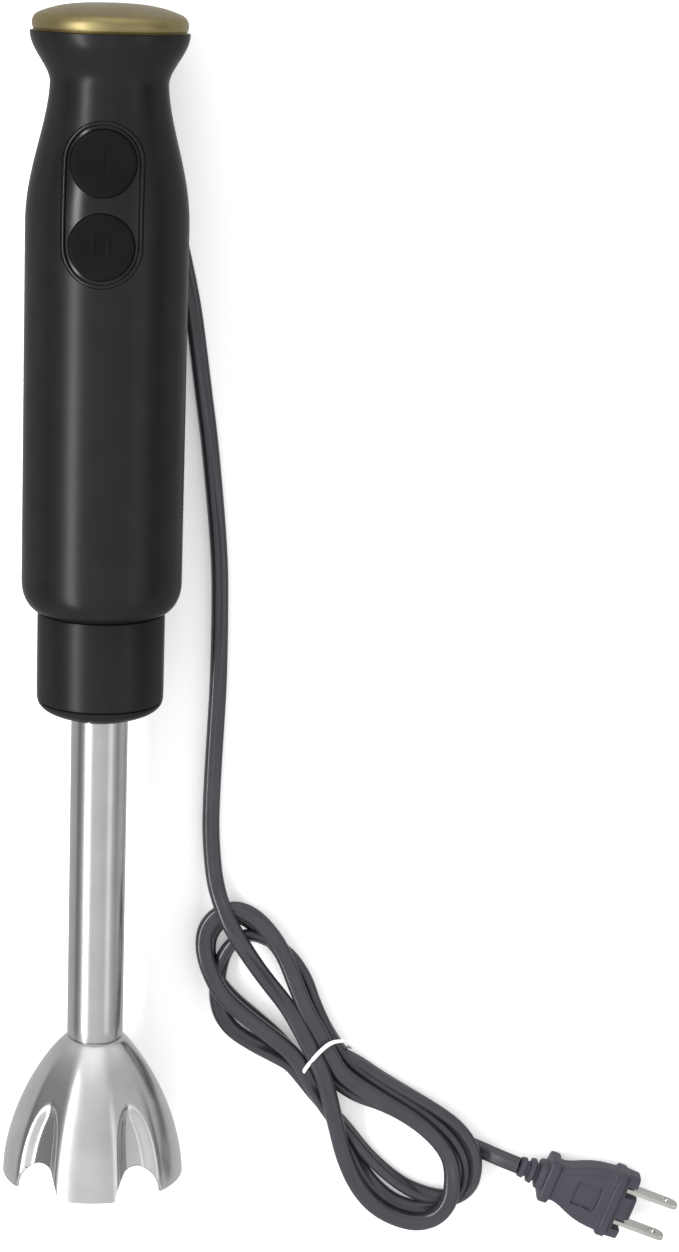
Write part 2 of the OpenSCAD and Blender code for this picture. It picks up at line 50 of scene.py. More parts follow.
TILT = math.radians(0.530224)
LIE_Y, LIE_Z = -197.95477, 29.55256
LAY = Matrix((
    (1, 0, 0, 0),
    (0, -math.sin(TILT), math.cos(TILT), LIE_Y * MM),
    (0, -math.cos(TILT), -math.sin(TILT), LIE_Z * MM),
    (0, 0, 0, 1))) @ Matrix.Scale(MM, 4)
FLAT = Matrix.Scale(MM, 4)

BODY_R, NECK_R, RIM_R, WALL = 26.5, 19.0, 25.6, 2.4
CAP_R = 25.0
BUTTON_R, PANEL_W, PANEL_H = 10.5, 26.0, 52.0
Z_BODY, Z_SHOULDER, Z_NECK, Z_RIM, Z_PANEL = 198.4, 326.0, 371.5, 387.2, 334.3
Z_BUTTONS = (347.3, 321.3)
CORNER_H, CORNER_R = 9.8, 7.0
COLLAR_R, Z_COLLAR, Z_SEAM, Z_COLLAR_TOP = 21.15, 162.2, 168.0, 198.2
TUBE_R, BELL_R, BELL_H, BELL_WALL = 9.5, 30.98, 49.2, 1.2
FOOT_HALF, ARCH_HALF, ARCH_H = 18.6, 17.4, 10.0
BUSH_TIP, BUSH_DIR, BUSH_LEN = Vector((19.9, 22.4, 328)), Vector((0.25, 0.11, -0.962)), 26.0
BOSS_LEN = 28.0                     # from the guard's tip to the inner end of its boss
SCREWS = ((21.2, 245), (-21.2, 245), (19.0, 298), (-19.0, 298))
SCREW_HEAD_R = 2.3
FIT = 0.15                          # gap round the panel in the casing
PANEL_CUT = (-40, -5)               # depths between which the panel's stadium is cut
BUTTON_GAP = 0.25
BAR_OFFSET = 2.35                   # half the distance between the high speed button's two bars
PLUG_POS, PLUG_TURN, PLUG_LEN, BLADE_PITCH = Vector((149.5, -202.3, 6.8)), -19.6, 58.0, 12.7


def ease(t):
    """Smooth step from 0 to 1."""
    return (1 - math.cos(math.pi * min(max(t, 0.0), 1.0))) / 2


def handle_r(z):
    """Radius of the casing: rounded lower corner, straight body, waist and flared rim."""
    if z < Z_BODY + CORNER_H:
        t = (Z_BODY + CORNER_H + 0.2 - z) / (CORNER_H + 0.4)
        return BODY_R - CORNER_R + CORNER_R * math.sqrt(max(1 - t * t, 0))
    if z < Z_SHOULDER:
        return BODY_R
    if z < Z_NECK:
        return NECK_R + (BODY_R - NECK_R) * ease(((Z_NECK + 0.5 - z) / 46) ** 0.9)
    return NECK_R + (RIM_R - NECK_R) * ease(((z - Z_NECK + 0.5) / 16.2) ** 0.92)


def collar_under_r(z):
    """Radius of the collar's rounded underside."""
    return 10 + (COLLAR_R - 10.05) * max(1 - (max(171 - z, 0) / 8.85) ** 3.5, 0) ** 0.9


def bell_petal_r(z):
    """Radius of the bell along the middle of a petal."""
    return TUBE_R + 0.1 + (BELL_R - TUBE_R - 0.1) * (1 - min(z / BELL_H, 1) ** 1.75) ** 0.82


def off_petal(a):
    """Degrees from the middle of the nearest of the five petals."""
    return abs((a + 36) % 72 - 36)


def bell_out_r(a, z):
    """Outer radius of the bell, with flatter valleys and a hollow over each arch."""
    off = off_petal(a)
    petal = bell_petal_r(z)
    valley = 0.954 * petal / math.cos(math.radians(36 - off))
    blend = max(0.5 - abs(petal - valley), 0) / 0.5
    hollow = 16 * max(1 - (z / 31) ** 4, 0) ** 0.5
    return (min(petal, valley) - 0.125 * blend ** 2
            - 2.0 * ease((hollow - 36 + off) / 9) * ease((32 - z) / 8))


def rim_z(a):
    """Height of the bell's lower edge, which rises in an arch between two feet."""
    d = 36 - off_petal(a)
    return 0.0 if d >= ARCH_HALF - 0.01 else ARCH_H * (1 - (d / ARCH_HALF) ** 2.2) ** 0.6


# ---------- mesh helpers ----------

def lin(a, b, n):
    """n numbers evenly spaced from a to b."""
    return [a + (b - a) * i / (n - 1) for i in range(n)]


def make(name, verts, faces, place=LAY, smooth=35):
    """Mesh object from points in mm, put in place, with faces turned outwards."""
    mesh = bpy.data.meshes.new(name)
    mesh.from_pydata([place @ Vector(v) for v in verts], [], faces)
    bm = bmesh.new()
    bm.from_mesh(mesh)
    bmesh.ops.remove_doubles(bm, verts=bm.verts, dist=2e-6)
    bmesh.ops.recalc_face_normals(bm, faces=bm.faces)
    bm.to_mesh(mesh)
    bm.free()
    mesh.validate()
    obj = bpy.data.objects.new(name, mesh)
    bpy.context.scene.collection.objects.link(obj)
    shade(obj, smooth)
    return obj


def shade(obj, angle=35):
    """Smooth shading, with edges sharper than the angle kept."""
    obj.data.shade_smooth()
    obj.data.set_sharp_from_angle(angle=math.radians(angle))


def quads(rows, cols, closed_rows=False, closed_cols=False):
    """Faces of a grid of points, joined up at its ends where it is closed."""
    out = []
    for i in range(rows if closed_rows else rows - 1):
        for j in range(cols if closed_cols else cols - 1):
            a, b = i * cols + j, i * cols + (j + 1) % cols
            k = ((i + 1) % rows - i) * cols
            out.append((a, b, b + k, a + k))
    return out


def fillet(profile, radius=0.3, steps=3, closed=True):
    """Rounds the sharp corners of a profile of (r, z) points."""
    pts, n = [], len(profile)
    for i, p in enumerate(profile):
        p = Vector(p[:2])
        if not closed and i in (0, n - 1):
            pts.append(tuple(p))
            continue
        a, b = Vector(profile[i - 1][:2]) - p, Vector(profile[(i + 1) % n][:2]) - p
        if p.x < 1e-6 or a.length < 1e-6 or b.length < 1e-6 or a.angle(b) > math.radians(150):
            pts.append(tuple(p))
            continue
        q = p + a.normalized() * min(radius, a.length * 0.45)
        r = p + b.normalized() * min(radius, b.length * 0.45)
        for k in range(steps + 1):
            t = k / steps
            pts.append(tuple(q * (1 - t) ** 2 + p * 2 * t * (1 - t) + r * t * t))
    return pts


def revolve(name, profile, steps=144, place=LAY, smooth=35, closed=True):
    """Full revolution of a closed profile of (r, z) points about Z."""
    verts = [(r * math.cos(a), r * math.sin(a), z)
             for r, z in profile for a in (2 * math.pi * k / steps for k in range(steps))]
    return make(name, verts, quads(len(profile), steps, closed, True), place, smooth)


def loft(name, rings, place=LAY, smooth=35, caps=True, loop=False):
    """Skin over rings that all have the same number of points."""
    n = len(rings[0])
    verts = [p for ring in rings for p in ring]
    faces = quads(len(rings), n, loop, True)
    if caps and not loop:
        faces += [tuple(range(n)), tuple(range((len(rings) - 1) * n, len(rings) * n))]
    return make(name, verts, faces, place, smooth)


def boolean(obj, other, how):
    """Cuts, joins or intersects obj with another mesh, which is then removed."""
    mod = obj.modifiers.new("cut", "BOOLEAN")
    mod.operation, mod.solver, mod.object = how, "EXACT", other
    bpy.context.view_layer.update()
    mesh = bpy.data.meshes.new_from_object(obj.evaluated_get(bpy.context.evaluated_depsgraph_get()))
    obj.modifiers.clear()
    obj.data = mesh
    old = other.data
    bpy.data.objects.remove(other)
    bpy.data.meshes.remove(old)
    return obj


def stadium_ring(w, h, y, n=48):
    """Stadium round the panel's middle, at one depth."""
    half, pts = w / 2, []
    for s in (1, -1):
        for k in range(n + 1):
            a = math.pi * k / n
            pts.append((s * half * math.cos(a), y, Z_PANEL + s * ((h - w) / 2 + half * math.sin(a))))
    return pts


def rod_along_y(x, z, r, y0, y1, n=64):
    """Round cutter from front to back."""
    return loft("rod", [[(x + r * math.cos(2 * math.pi * k / n), y, z + r * math.sin(2 * math.pi * k / n))
                         for k in range(n)] for y in (y0, y1)])


def aimed(origin, direction):
    """Frame in the tool with Z along a direction."""
    return LAY @ Matrix.Translation(origin) @ Vector(direction).to_track_quat("Z", "Y").to_matrix().to_4x4()


# ---------- materials ----------

def material(name, colours, rough, metal=0.0, grain=None, bump=None, brush=None, fleck=None, **sockets):
    """Procedural finish: colours blend over a soft noise, roughness wanders between two values,
    grain = (scale, strength, distance in mm) of a fine bump, bump = the same for a broad one,
    brush = (direction, across, along, strength) of fine drawn lines, fleck = (scale, amount, colour)."""
    mat = bpy.data.materials.new(name)
    mat.use_nodes = True
    nt = mat.node_tree
    nt.nodes.clear()
    out = nt.nodes.new("ShaderNodeOutputMaterial")
    bsdf = nt.nodes.new("ShaderNodeBsdfPrincipled")
    nt.links.new(bsdf.outputs[0], out.inputs[0])
    coord = nt.nodes.new("ShaderNodeTexCoord")

    def noise(scale, detail=3.0, vector=None):
        n = nt.nodes.new("ShaderNodeTexNoise")
        n.inputs["Scale"].default_value = scale
        n.inputs["Detail"].default_value = detail
        nt.links.new(vector or coord.outputs["Object"], n.inputs["Vector"])
        return n.outputs["Fac"]

    def ramp(fac, stops):
        r = nt.nodes.new("ShaderNodeValToRGB")
        r.color_ramp.elements[0].position, r.color_ramp.elements[0].color = stops[0][0], (*stops[0][1], 1)
        r.color_ramp.elements[1].position, r.color_ramp.elements[1].color = stops[-1][0], (*stops[-1][1], 1)
        for pos, col in stops[1:-1]:
            e = r.color_ramp.elements.new(pos)
            e.color = (*col, 1)
        nt.links.new(fac, r.inputs["Fac"])
        return r.outputs["Color"]

    def stretch(fac, lo, hi, a=0.35, b=0.65):
        m = nt.nodes.new("ShaderNodeMapRange")
        for key, v in (("From Min", a), ("From Max", b), ("To Min", lo), ("To Max", hi)):
            m.inputs[key].default_value = v
        nt.links.new(fac, m.inputs["Value"])
        return m.outputs[0]

    def bumped(height, strength, distance, normal=None):
        b = nt.nodes.new("ShaderNodeBump")
        b.inputs["Strength"].default_value = strength
        b.inputs["Distance"].default_value = distance * MM
        nt.links.new(height, b.inputs["Height"])
        if normal:
            nt.links.new(normal, b.inputs["Normal"])
        return b.outputs[0]

    colour = ramp(noise(90, 4), [(0.32, colours[0]), (0.68, colours[-1])])
    if fleck:
        mix = nt.nodes.new("ShaderNodeMix")
        mix.data_type = "RGBA"
        amount = ramp(noise(fleck[0], 2), [(0.60, (0, 0, 0)), (0.74, (fleck[1],) * 3)])
        spots = ramp(noise(200), [(0.3, fleck[2]), (0.7, tuple(c * 0.8 for c in fleck[2]))])
        nt.links.new(amount, mix.inputs[0])
        nt.links.new(colour, mix.inputs[6])
        nt.links.new(spots, mix.inputs[7])
        colour = mix.outputs[2]
    nt.links.new(colour, bsdf.inputs["Base Color"])
    rough_field = noise(60, 5)
    normal = None
    if bump:
        normal = bumped(noise(bump[0], 2), bump[1], bump[2])
    if brush:
        axis, across, along, strength = brush
        mp = nt.nodes.new("ShaderNodeMapping")
        mp.inputs["Scale"].default_value = axis
        nt.links.new(coord.outputs["Object"], mp.inputs["Vector"])
        lines = noise(across, along, mp.outputs[0])
        normal = bumped(lines, strength, 0.05, normal)
        nt.links.new(stretch(lines, rough[0], rough[1]), bsdf.inputs["Roughness"])
    else:
        nt.links.new(stretch(rough_field, rough[0], rough[1]), bsdf.inputs["Roughness"])
    if grain:
        normal = bumped(noise(grain[0], 2), grain[1], grain[2], normal)
    if normal:
        nt.links.new(normal, bsdf.inputs["Normal"])
    bsdf.inputs["Metallic"].default_value = metal
    for key, value in sockets.items():
        bsdf.inputs[key.replace("_", " ")].default_value = value
    return mat


SOFT_BLACK = material("soft_black", [(0.0088, 0.0082, 0.0085), (0.0110, 0.0104, 0.0107)], (0.27, 0.33),
                      grain=(2600, 0.2, 0.02), Specular_IOR_Level=0.02,
                      Coat_Weight=0.065, Coat_Roughness=0.30, Coat_IOR=2.6)
COLLAR_BLACK = material("collar_black", [(0.0083, 0.0077, 0.0080), (0.0104, 0.0098, 0.0101)], (0.30, 0.36),
                        grain=(2200, 0.2, 0.02), Specular_IOR_Level=0.02,
                        Coat_Weight=0.06, Coat_Roughness=0.33, Coat_IOR=2.6)
GLOSS_BLACK = material("gloss_black", [(0.004, 0.004, 0.0044), (0.006, 0.006, 0.0064)], (0.20, 0.25),
                       bump=(60, 0.03, 0.2), Specular_IOR_Level=0.26)
BUTTON_BLACK = material("button_black", [(0.0075, 0.0075, 0.0078), (0.0095, 0.0095, 0.01)], (0.38, 0.46),
                        grain=(3000, 0.2, 0.015), Specular_IOR_Level=0.02)
CHAMPAGNE = material("champagne", [(0.225, 0.185, 0.085), (0.27, 0.225, 0.108)], (0.42, 0.47), metal=1.0,
                     grain=(3500, 0.15, 0.01), Anisotropic=0.2)
STEEL = material("brushed_steel", [(0.40, 0.40, 0.40), (0.44, 0.44, 0.437)], (0.24, 0.265), metal=1.0,
                 brush=((1, 60, 1), 260, 4, 0.006))
BELL_STEEL = material("bell_steel", [(0.48, 0.48, 0.477), (0.54, 0.54, 0.535)], (0.24, 0.27), metal=1.0,
                      brush=((1, 45, 1), 240, 4, 0.008), bump=(30, 0.01, 0.2))
NICKEL = material("nickel", [(0.42, 0.415, 0.39), (0.50, 0.495, 0.47)], (0.16, 0.28), metal=1.0,
                  brush=((1, 1, 30), 500, 3, 0.08))
CORD_BLACK = material("cord_black", [(0.024, 0.024, 0.031), (0.031, 0.031, 0.040)], (0.22, 0.30),
                      grain=(1500, 0.2, 0.03), bump=(110, 0.04, 0.15), Specular_IOR_Level=0.5)
PLUG_BLACK = material("plug_black", [(0.027, 0.027, 0.040), (0.035, 0.035, 0.050)], (0.40, 0.52),
                      grain=(1300, 0.35, 0.04), Specular_IOR_Level=0.5)
TIE_WHITE = material("tie_white", [(0.84, 0.84, 0.82), (0.93, 0.93, 0.91)], (0.4, 0.55),
                     grain=(1800, 0.3, 0.03), Specular_IOR_Level=0.4)

# ---------- camera, light and floor ----------

CAM_AT = (0.071731, 0.236289, 1.013359)
CAM_RIGHT = Vector((0.999463, 0.0327782, -0.0003547)).normalized()
CAM_FORWARD = Vector((0.00737393, -0.23536049, -0.97188017)).normalized()
LENS, SENSOR = 87.70, 36
cam_up = CAM_RIGHT.cross(CAM_FORWARD).normalized()
camera = bpy.data.objects.new("camera", bpy.data.cameras.new("camera"))
camera.matrix_world = Matrix.Translation(CAM_AT) @ Matrix(
    (CAM_RIGHT, cam_up, -CAM_FORWARD)).transposed().to_4x4()
camera.data.sensor_width = SENSOR
camera.data.lens = LENS
camera.data.clip_start, camera.data.clip_end = 0.01, 20
bpy.context.scene.collection.objects.link(camera)
bpy.context.scene.camera = camera


def area(name, at, target, size, power):
    """Soft rectangular light at one place, aimed at another."""
    light = bpy.data.lights.new(name, "AREA")
    light.shape, light.size, light.size_y = "RECTANGLE", size[0], size[1]
    light.energy = power
    obj = bpy.data.objects.new(name, light)
    obj.location = at
    obj.rotation_mode = "QUATERNION"
    obj.rotation_quaternion = (Vector(target) - Vector(at)).to_track_quat("-Z", "Y")
    bpy.context.scene.collection.objects.link(obj)


area("strip_left", (-0.86, -0.02, 1.02), (0.0, -0.02, 0.03), (1.8, 0.20), 20)
area("soft_right", (1.3, -0.1, 1.0), (0.05, 0.0, 0.0), (1.5, 0.5), 2)

# The studio round the tool, as (place from one side to the other, grey): darker at the far left and
# right, brighter behind the cap, and one plain grey under the horizon, for the reflections.
SKY_ACROSS = [(0.0, 0.08), (0.05, 0.2), (0.14, 0.55), (0.5, 0.78), (0.84, 0.62), (0.965, 0.5), (0.99, 0.06)]
SKY_ALONG = [(0.0, 1.0), (0.5, 1.0), (0.6, 0.85), (0.8, 0.85), (0.92, 1.5)]
HORIZON = [(0.44, 0.0), (0.53, 1.0)]
UNDER_GREY, SKY_STRENGTH = (0.5, 0.5, 0.5, 1), 1.5

world = bpy.data.worlds.new("studio")
bpy.context.scene.world = world
world.use_nodes = True
sky = world.node_tree
direction = sky.nodes.new("ShaderNodeTexCoord")
split = sky.nodes.new("ShaderNodeSeparateXYZ")
sky.links.new(direction.outputs["Generated"], split.inputs[0])


def sky_ramp(axis, stops):
    """Grey that changes over the studio from one side to the other."""
    span = sky.nodes.new("ShaderNodeMapRange")
    span.inputs["From Min"].default_value = -1
    sky.links.new(split.outputs[axis], span.inputs["Value"])
    ramp = sky.nodes.new("ShaderNodeValToRGB")
    sky.links.new(span.outputs[0], ramp.inputs["Fac"])
    for k, (at, grey) in enumerate(stops):
        e = ramp.color_ramp.elements[k] if k in (0, 1) else ramp.color_ramp.elements.new(at)
        e.position, e.color = at, (grey, grey, grey, 1)
    return ramp.outputs[0]


both = sky.nodes.new("ShaderNodeMix")
both.data_type, both.blend_type = "RGBA", "MULTIPLY"
both.inputs[0].default_value = 1
sky.links.new(sky_ramp(0, SKY_ACROSS), both.inputs[6])
sky.links.new(sky_ramp(1, SKY_ALONG), both.inputs[7])
under = sky.nodes.new("ShaderNodeMix")
under.data_type = "RGBA"
under.inputs[6].default_value = UNDER_GREY
sky.links.new(sky_ramp(2, HORIZON), under.inputs[0])
sky.links.new(both.outputs[2], under.inputs[7])
sky.links.new(under.outputs[2], sky.nodes["Background"].inputs["Color"])
sky.nodes["Background"].inputs["Strength"].default_value = SKY_STRENGTH
bpy.context.scene.view_settings.view_transform = "Standard"

FLOOR_HALF, FLOOR_Z, FLOOR_STEPS = 3000, -0.6, 9
floor_mat = material("floor", [(0.925, 0.925, 0.925), (0.93, 0.93, 0.93)], (0.7, 0.85),
                     Specular_IOR_Level=0.02, Emission_Color=(1, 1, 1, 1), Emission_Strength=0.3)
floor_grid = lin(-FLOOR_HALF, FLOOR_HALF, FLOOR_STEPS)
floor = make("floor", [(x, y, FLOOR_Z) for y in floor_grid for x in floor_grid],
             quads(FLOOR_STEPS, FLOOR_STEPS), FLAT)
floor.data.materials.append(floor_mat)
floor.visible_glossy = False        # the polished parts reflect the studio's grey, not a white floor


def finish_piece(obj, mat, body, slot, *nodes):
    """Gives a piece its finish and body, and hides the CAD nodes that it stands for; slot is not used."""
    obj.data.materials.clear()
    obj.data.materials.append(mat)
    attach(obj, body)
    if nodes:
        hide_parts(*nodes)
    return obj


# ---------- the lead: (x, y, z, twist of its wide side in degrees), in mm ----------

CORD_W, CORD_T = 6.0, 4.3
exit_mm = (LAY @ BUSH_TIP) / MM
run = [
    (*exit_mm, 30), (23.0, 117, 2.9, 10), (26.6, 101, 2.6, 10), (29.0, 86, 2.6, 15), (31.3, 70, 2.6, 20),
    (33.5, 55, 2.6, 25), (35.4, 39, 2.7, 30), (37.0, 24, 2.7, 35), (38.1, 10, 2.7, 35), (38.5, -4, 2.7, 35),
    (38.6, -18, 2.7, 30), (38.5, -32, 2.6, 25), (38.0, -46, 2.6, 20), (37.5, -60, 2.5, 20),
    (37.2, -72, 2.5, 20), (37.2, -82, 2.5, 20), (37.9, -92, 2.6, 20)]
hank = [
    (39.1, -100.6, 3.4, 20), (41.1, -106.9, 6.0, 10), (44.1, -113.1, 9.0, 10),
    (48.9, -121.6, 9.0, 25), (56.6, -133.0, 8.6, 45), (65.2, -143.8, 8.8, 30),
    (70.3, -152.1, 9.6, 10), (74.9, -160.8, 9.8, 0), (78.9, -168.8, 10.4, 0),
    (81.6, -178.4, 9.6, 10), (84.2, -188.9, 8.0, 20), (87.2, -200.2, 7.0, 20),
    (92.0, -211.2, 6.6, 10), (98.5, -219.1, 6.6, 0), (106.2, -223.6, 6.6, 0),
    (114.3, -225.2, 6.8, 0), (121.3, -222.4, 7.2, 0), (125.3, -215.8, 7.6, 0),
    (126.0, -207.6, 7.8, 10), (124.7, -199.9, 8.0, 20), (120.1, -192.9, 8.2, 20),
    (112.3, -185.9, 8.4, 10), (101.9, -179.7, 8.4, 0), (91.6, -173.4, 8.4, 0),
    (84.8, -168.0, 8.4, 0), (81.1, -162.0, 8.4, 0), (77.4, -154.7, 8.4, 0), (72.7, -146.5, 8.2, 0),
    (68.8, -137.6, 7.8, 0), (64.7, -127.7, 7.2, 0), (59.7, -119.4, 6.6, 0), (53.4, -112.8, 6.4, 0),
    (46.8, -110.1, 6.4, 0), (40.4, -112.3, 6.4, 0), (36.4, -117.9, 6.4, 0),
    (36.1, -126.2, 6.4, 10), (39.2, -135.3, 6.6, 10), (43.7, -142.5, 6.8, 0),
    (51.1, -149.1, 7.0, 0), (60.3, -156.0, 7.6, 0), (67.0, -161.2, 8.2, 0), (71.8, -167.1, 8.2, 0),
    (75.8, -175.1, 6.6, 20), (80.4, -183.1, 4.2, 40), (85.6, -191.0, 2.9, 50),
    (90.3, -200.5, 2.6, 50), (96.0, -210.5, 2.5, 40), (104.3, -218.4, 2.4, 20),
    (113.4, -221.5, 2.4, 10), (121.8, -220.2, 2.4, 10), (127.9, -215.1, 2.6, 30),
    (130.4, -207.9, 3.6, 60), (129.6, -200.3, 4.6, 80), (125.1, -192.7, 4.8, 80),
    (116.4, -185.0, 4.6, 80), (105.5, -178.0, 4.2, 80), (95.5, -171.9, 3.6, 80),
    (88.7, -166.6, 3.4, 85), (83.9, -160.7, 3.2, 90), (79.0, -152.5, 3.0, 80),
    (74.8, -143.8, 2.9, 70), (71.5, -135.6, 2.8, 60), (66.0, -127.5, 2.7, 60),
    (58.4, -122.2, 2.7, 60), (51.1, -120.4, 2.7, 60), (45.3, -124.0, 2.7, 60),
    (42.0, -130.6, 2.6, 50), (40.8, -139.1, 2.5, 30), (41.8, -148.4, 2.4, 10),
    (46.1, -155.4, 2.4, 10), (53.7, -160.6, 2.4, 20), (61.3, -164.5, 2.6, 50),
    (66.7, -167.9, 3.0, 80), (71.0, -173.0, 3.1, 90), (76.8, -179.9, 2.9, 80),
    (83.2, -186.4, 2.9, 80), (89.2, -193.3, 3.0, 80), (95.2, -200.7, 3.0, 80),
    (102.2, -207.6, 3.0, 70), (109.9, -213.2, 2.8, 60), (118.6, -216.7, 2.4, 20),
    (126.6, -217.0, 2.3, 10), (132.2, -212.2, 3.4, 40), (134.1, -203.8, 6.0, 70),
    (132.7, -196.2, 7.2, 60), (127.5, -188.6, 6.6, 60), (118.9, -182.2, 5.6, 70),
    (108.1, -176.4, 4.4, 80), (98.2, -170.9, 3.6, 85), (90.0, -165.7, 3.2, 90),
    (81.1, -161.5, 3.2, 90), (76.0, -153.1, 3.0, 80), (71.7, -144.0, 2.6, 50),
    (67.8, -135.0, 2.3, 10), (62.4, -125.5, 2.2, 0), (55.2, -117.9, 2.2, 0),
    (47.6, -113.5, 2.2, 0), (41.6, -115.5, 2.2, 0), (37.8, -120.7, 2.2, 0), (37.1, -127.7, 2.2, 0),
    (39.7, -136.4, 2.2, 0), (45.3, -143.7, 2.2, 0), (53.4, -150.8, 2.3, 10),
    (62.0, -157.9, 2.6, 50), (68.4, -164.1, 3.0, 80), (74.2, -168.3, 3.1, 90),
    (81.4, -172.6, 3.0, 80), (90.5, -178.2, 2.6, 50), (101.2, -182.2, 2.3, 10),
    (112.1, -187.6, 2.3, 0), (122.1, -192.5, 2.2, 0), (130.2, -196.1, 2.2, 0),
    (137.3, -199.0, 2.6, 0)]
lead_end = [(143.6, -200.8, 4.8, 0), (tuple(PLUG_POS) + (0,))]


def smooth_path(points, step):
    """Points evenly spaced on one smooth curve through the given ones."""
    p = np.array(points, float)
    p = np.vstack([2 * p[0] - p[1], p, 2 * p[-1] - p[-2]])
    out = []
    for k in range(1, len(p) - 2):
        a, b, c, d = p[k - 1], p[k], p[k + 1], p[k + 2]
        for t in np.linspace(0, 1, 12, endpoint=False):
            out.append(b + t * (c - a) / 2 + t * t * (a - 2.5 * b + 2 * c - d / 2)
                       + t ** 3 * (1.5 * b - 1.5 * c + d / 2 - a / 2))
    out = np.array(out + [p[-2]])
    for _ in range(14):
        out[1:-1] = (out[:-2] + 2 * out[1:-1] + out[2:]) / 4
    along = np.concatenate([[0], np.cumsum(np.linalg.norm(np.diff(out[:, :3], axis=0), axis=1))])
    at = np.linspace(0, along[-1], int(along[-1] / step) + 1)
    return np.stack([np.interp(at, along, out[:, k]) for k in range(4)], axis=1), along[-1]


def twin_core(n=28):
    """Section of a two-core lead: two round lobes with a shallow groove between them."""
    pts = []
    for k in range(n):
        a = 2 * math.pi * k / n
        x = CORD_W / 2 * math.copysign(abs(math.cos(a)) ** 0.8, math.cos(a))
        y = CORD_T / 2 * math.copysign(abs(math.sin(a)) ** 0.8, math.sin(a))
        y *= 1 - 0.26 * math.exp(-(x / 0.62) ** 2)
        pts.append((x, y))
    return pts


path, cord_length = smooth_path(run + hank + lead_end, 1.0)
section = twin_core()
rings = []
for i, (x, y, z, turn) in enumerate(path):
    t = Vector(path[min(i + 1, len(path) - 1)][:3]) - Vector(path[max(i - 1, 0)][:3])
    t.normalize()
    side = t.cross(Vector((0, 0, 1))).normalized()
    up = side.cross(t)
    c, s = math.cos(math.radians(turn)), math.sin(math.radians(turn))
    z = max(z, 0.05 + max(a * s + b * c for a, b in section))
    u, v = side * c + up * s, up * c - side * s
    rings.append([Vector((x, y, z)) + u * a + v * b for a, b in section])
lead = loft("lead", rings, FLAT, 60)
finish_piece(lead, CORD_BLACK, "handle", "cord_black", "cord", "cord_hank", "cord_tail")

# ---------- handle ----------

def half_shell(name, start, rows):
    """Half of the handle's casing, with a hairline parting line at both sides."""
    angles = [math.radians(start + a) for a in
              [0.02, 0.25, 0.5, 0.9] + lin(2, 178, 89) + [179.1, 179.5, 179.75, 179.98]]
    verts = []
    for k, a in enumerate(angles):
        edge = min(k, len(angles) - 1 - k)
        dip = (0.32, 0.12, 0.03)[edge] if edge < 3 else 0
        for r, z in rows:
            verts.append(((r - dip) * math.cos(a), (r - dip) * math.sin(a), z))
    n = len(rows)
    faces = quads(len(angles), n, False, True)
    faces += [tuple(range(n)), tuple(range((len(angles) - 1) * n, len(angles) * n))]
    return make(name, verts, faces, LAY, 30)


zs = [Z_BODY + CORNER_H * (1 - math.cos(math.pi / 2 * k / 14)) for k in range(14)]
zs += lin(Z_BODY + CORNER_H, Z_SHOULDER - 2, 60) + lin(Z_SHOULDER, Z_NECK, 46)
zs += lin(Z_NECK + 0.6, Z_RIM - 0.5, 28)
shell_rows = [(handle_r(z), z) for z in zs]
shell_rows += [(RIM_R - 0.02, Z_RIM - 0.25), (RIM_R - 0.12, Z_RIM - 0.07), (RIM_R - 0.3, Z_RIM)]
shell_rows += [(handle_r(z) - WALL, z) for z in reversed([zs[0]] + zs[6:-1:3] + [Z_RIM])]
front = half_shell("casing_front", 180, shell_rows)
window = [stadium_ring(PANEL_W + 2 * FIT, PANEL_H + 2 * FIT, y) for y in PANEL_CUT]
boolean(front, loft("cutter", window), "DIFFERENCE")
rear = half_shell("casing_rear", 0, shell_rows)
bush_in = BUSH_TIP - BUSH_LEN * BUSH_DIR
boss_end = BUSH_TIP - BOSS_LEN * BUSH_DIR
boss_profile = [(0, 9), (0, -6)] + [(6 * math.cos(a), 6 * math.sin(a)) for a in
                                    (math.radians(v) for v in range(-84, 1, 6))] + [(5.9, 8.6), (5.5, 9)]
boss = revolve("boss", [(max(r, 1e-4), z) for r, z in boss_profile], 64, aimed(boss_end, BUSH_DIR))
boolean(rear, boss, "UNION")
for x, z in SCREWS:
    boolean(rear, rod_along_y(x, z, SCREW_HEAD_R, 6, 32, 48), "DIFFERENCE")
boolean(rear, revolve("channel", [(1e-4, 1), (4.3, 1), (4.3, BUSH_LEN), (1e-4, BUSH_LEN)], 48,
                      aimed(bush_in, BUSH_DIR)), "DIFFERENCE")
for shell, node in ((front, "front_shell"), (rear, "rear_shell")):
    shade(shell, 28)
    finish_piece(shell, SOFT_BLACK, "handle", "soft_black", node)

CAP_CORNER = 3.6
cap_profile = [(1e-3, Z_RIM + 6.4), (18, Z_RIM + 4.2), (20.4, Z_RIM + 0.2), (19.6, Z_RIM - 5),
               (21, Z_RIM - 5), (22, Z_RIM + 0.02), (CAP_R - 0.35, Z_RIM + 0.02),
               (CAP_R - 0.12, Z_RIM + 0.12)]
cap_profile += [(CAP_R - CAP_CORNER + CAP_CORNER * math.cos(a), Z_RIM + 2.4 + CAP_CORNER * math.sin(a))
                for a in (math.radians(v) for v in range(-34, 66, 4))]
cap_profile += [(max((CAP_R - 2.14) * t, 1e-3), Z_RIM + 5.69 + 3.3 * (1 - t ** 3)) for t in lin(1, 0, 44)]
cap = revolve("cap_disc", cap_profile, 192, smooth=32)
finish_piece(cap, CHAMPAGNE, "handle", "champagne", "top_cap")

# ---------- button panel, its raised rim line and the two buttons ----------

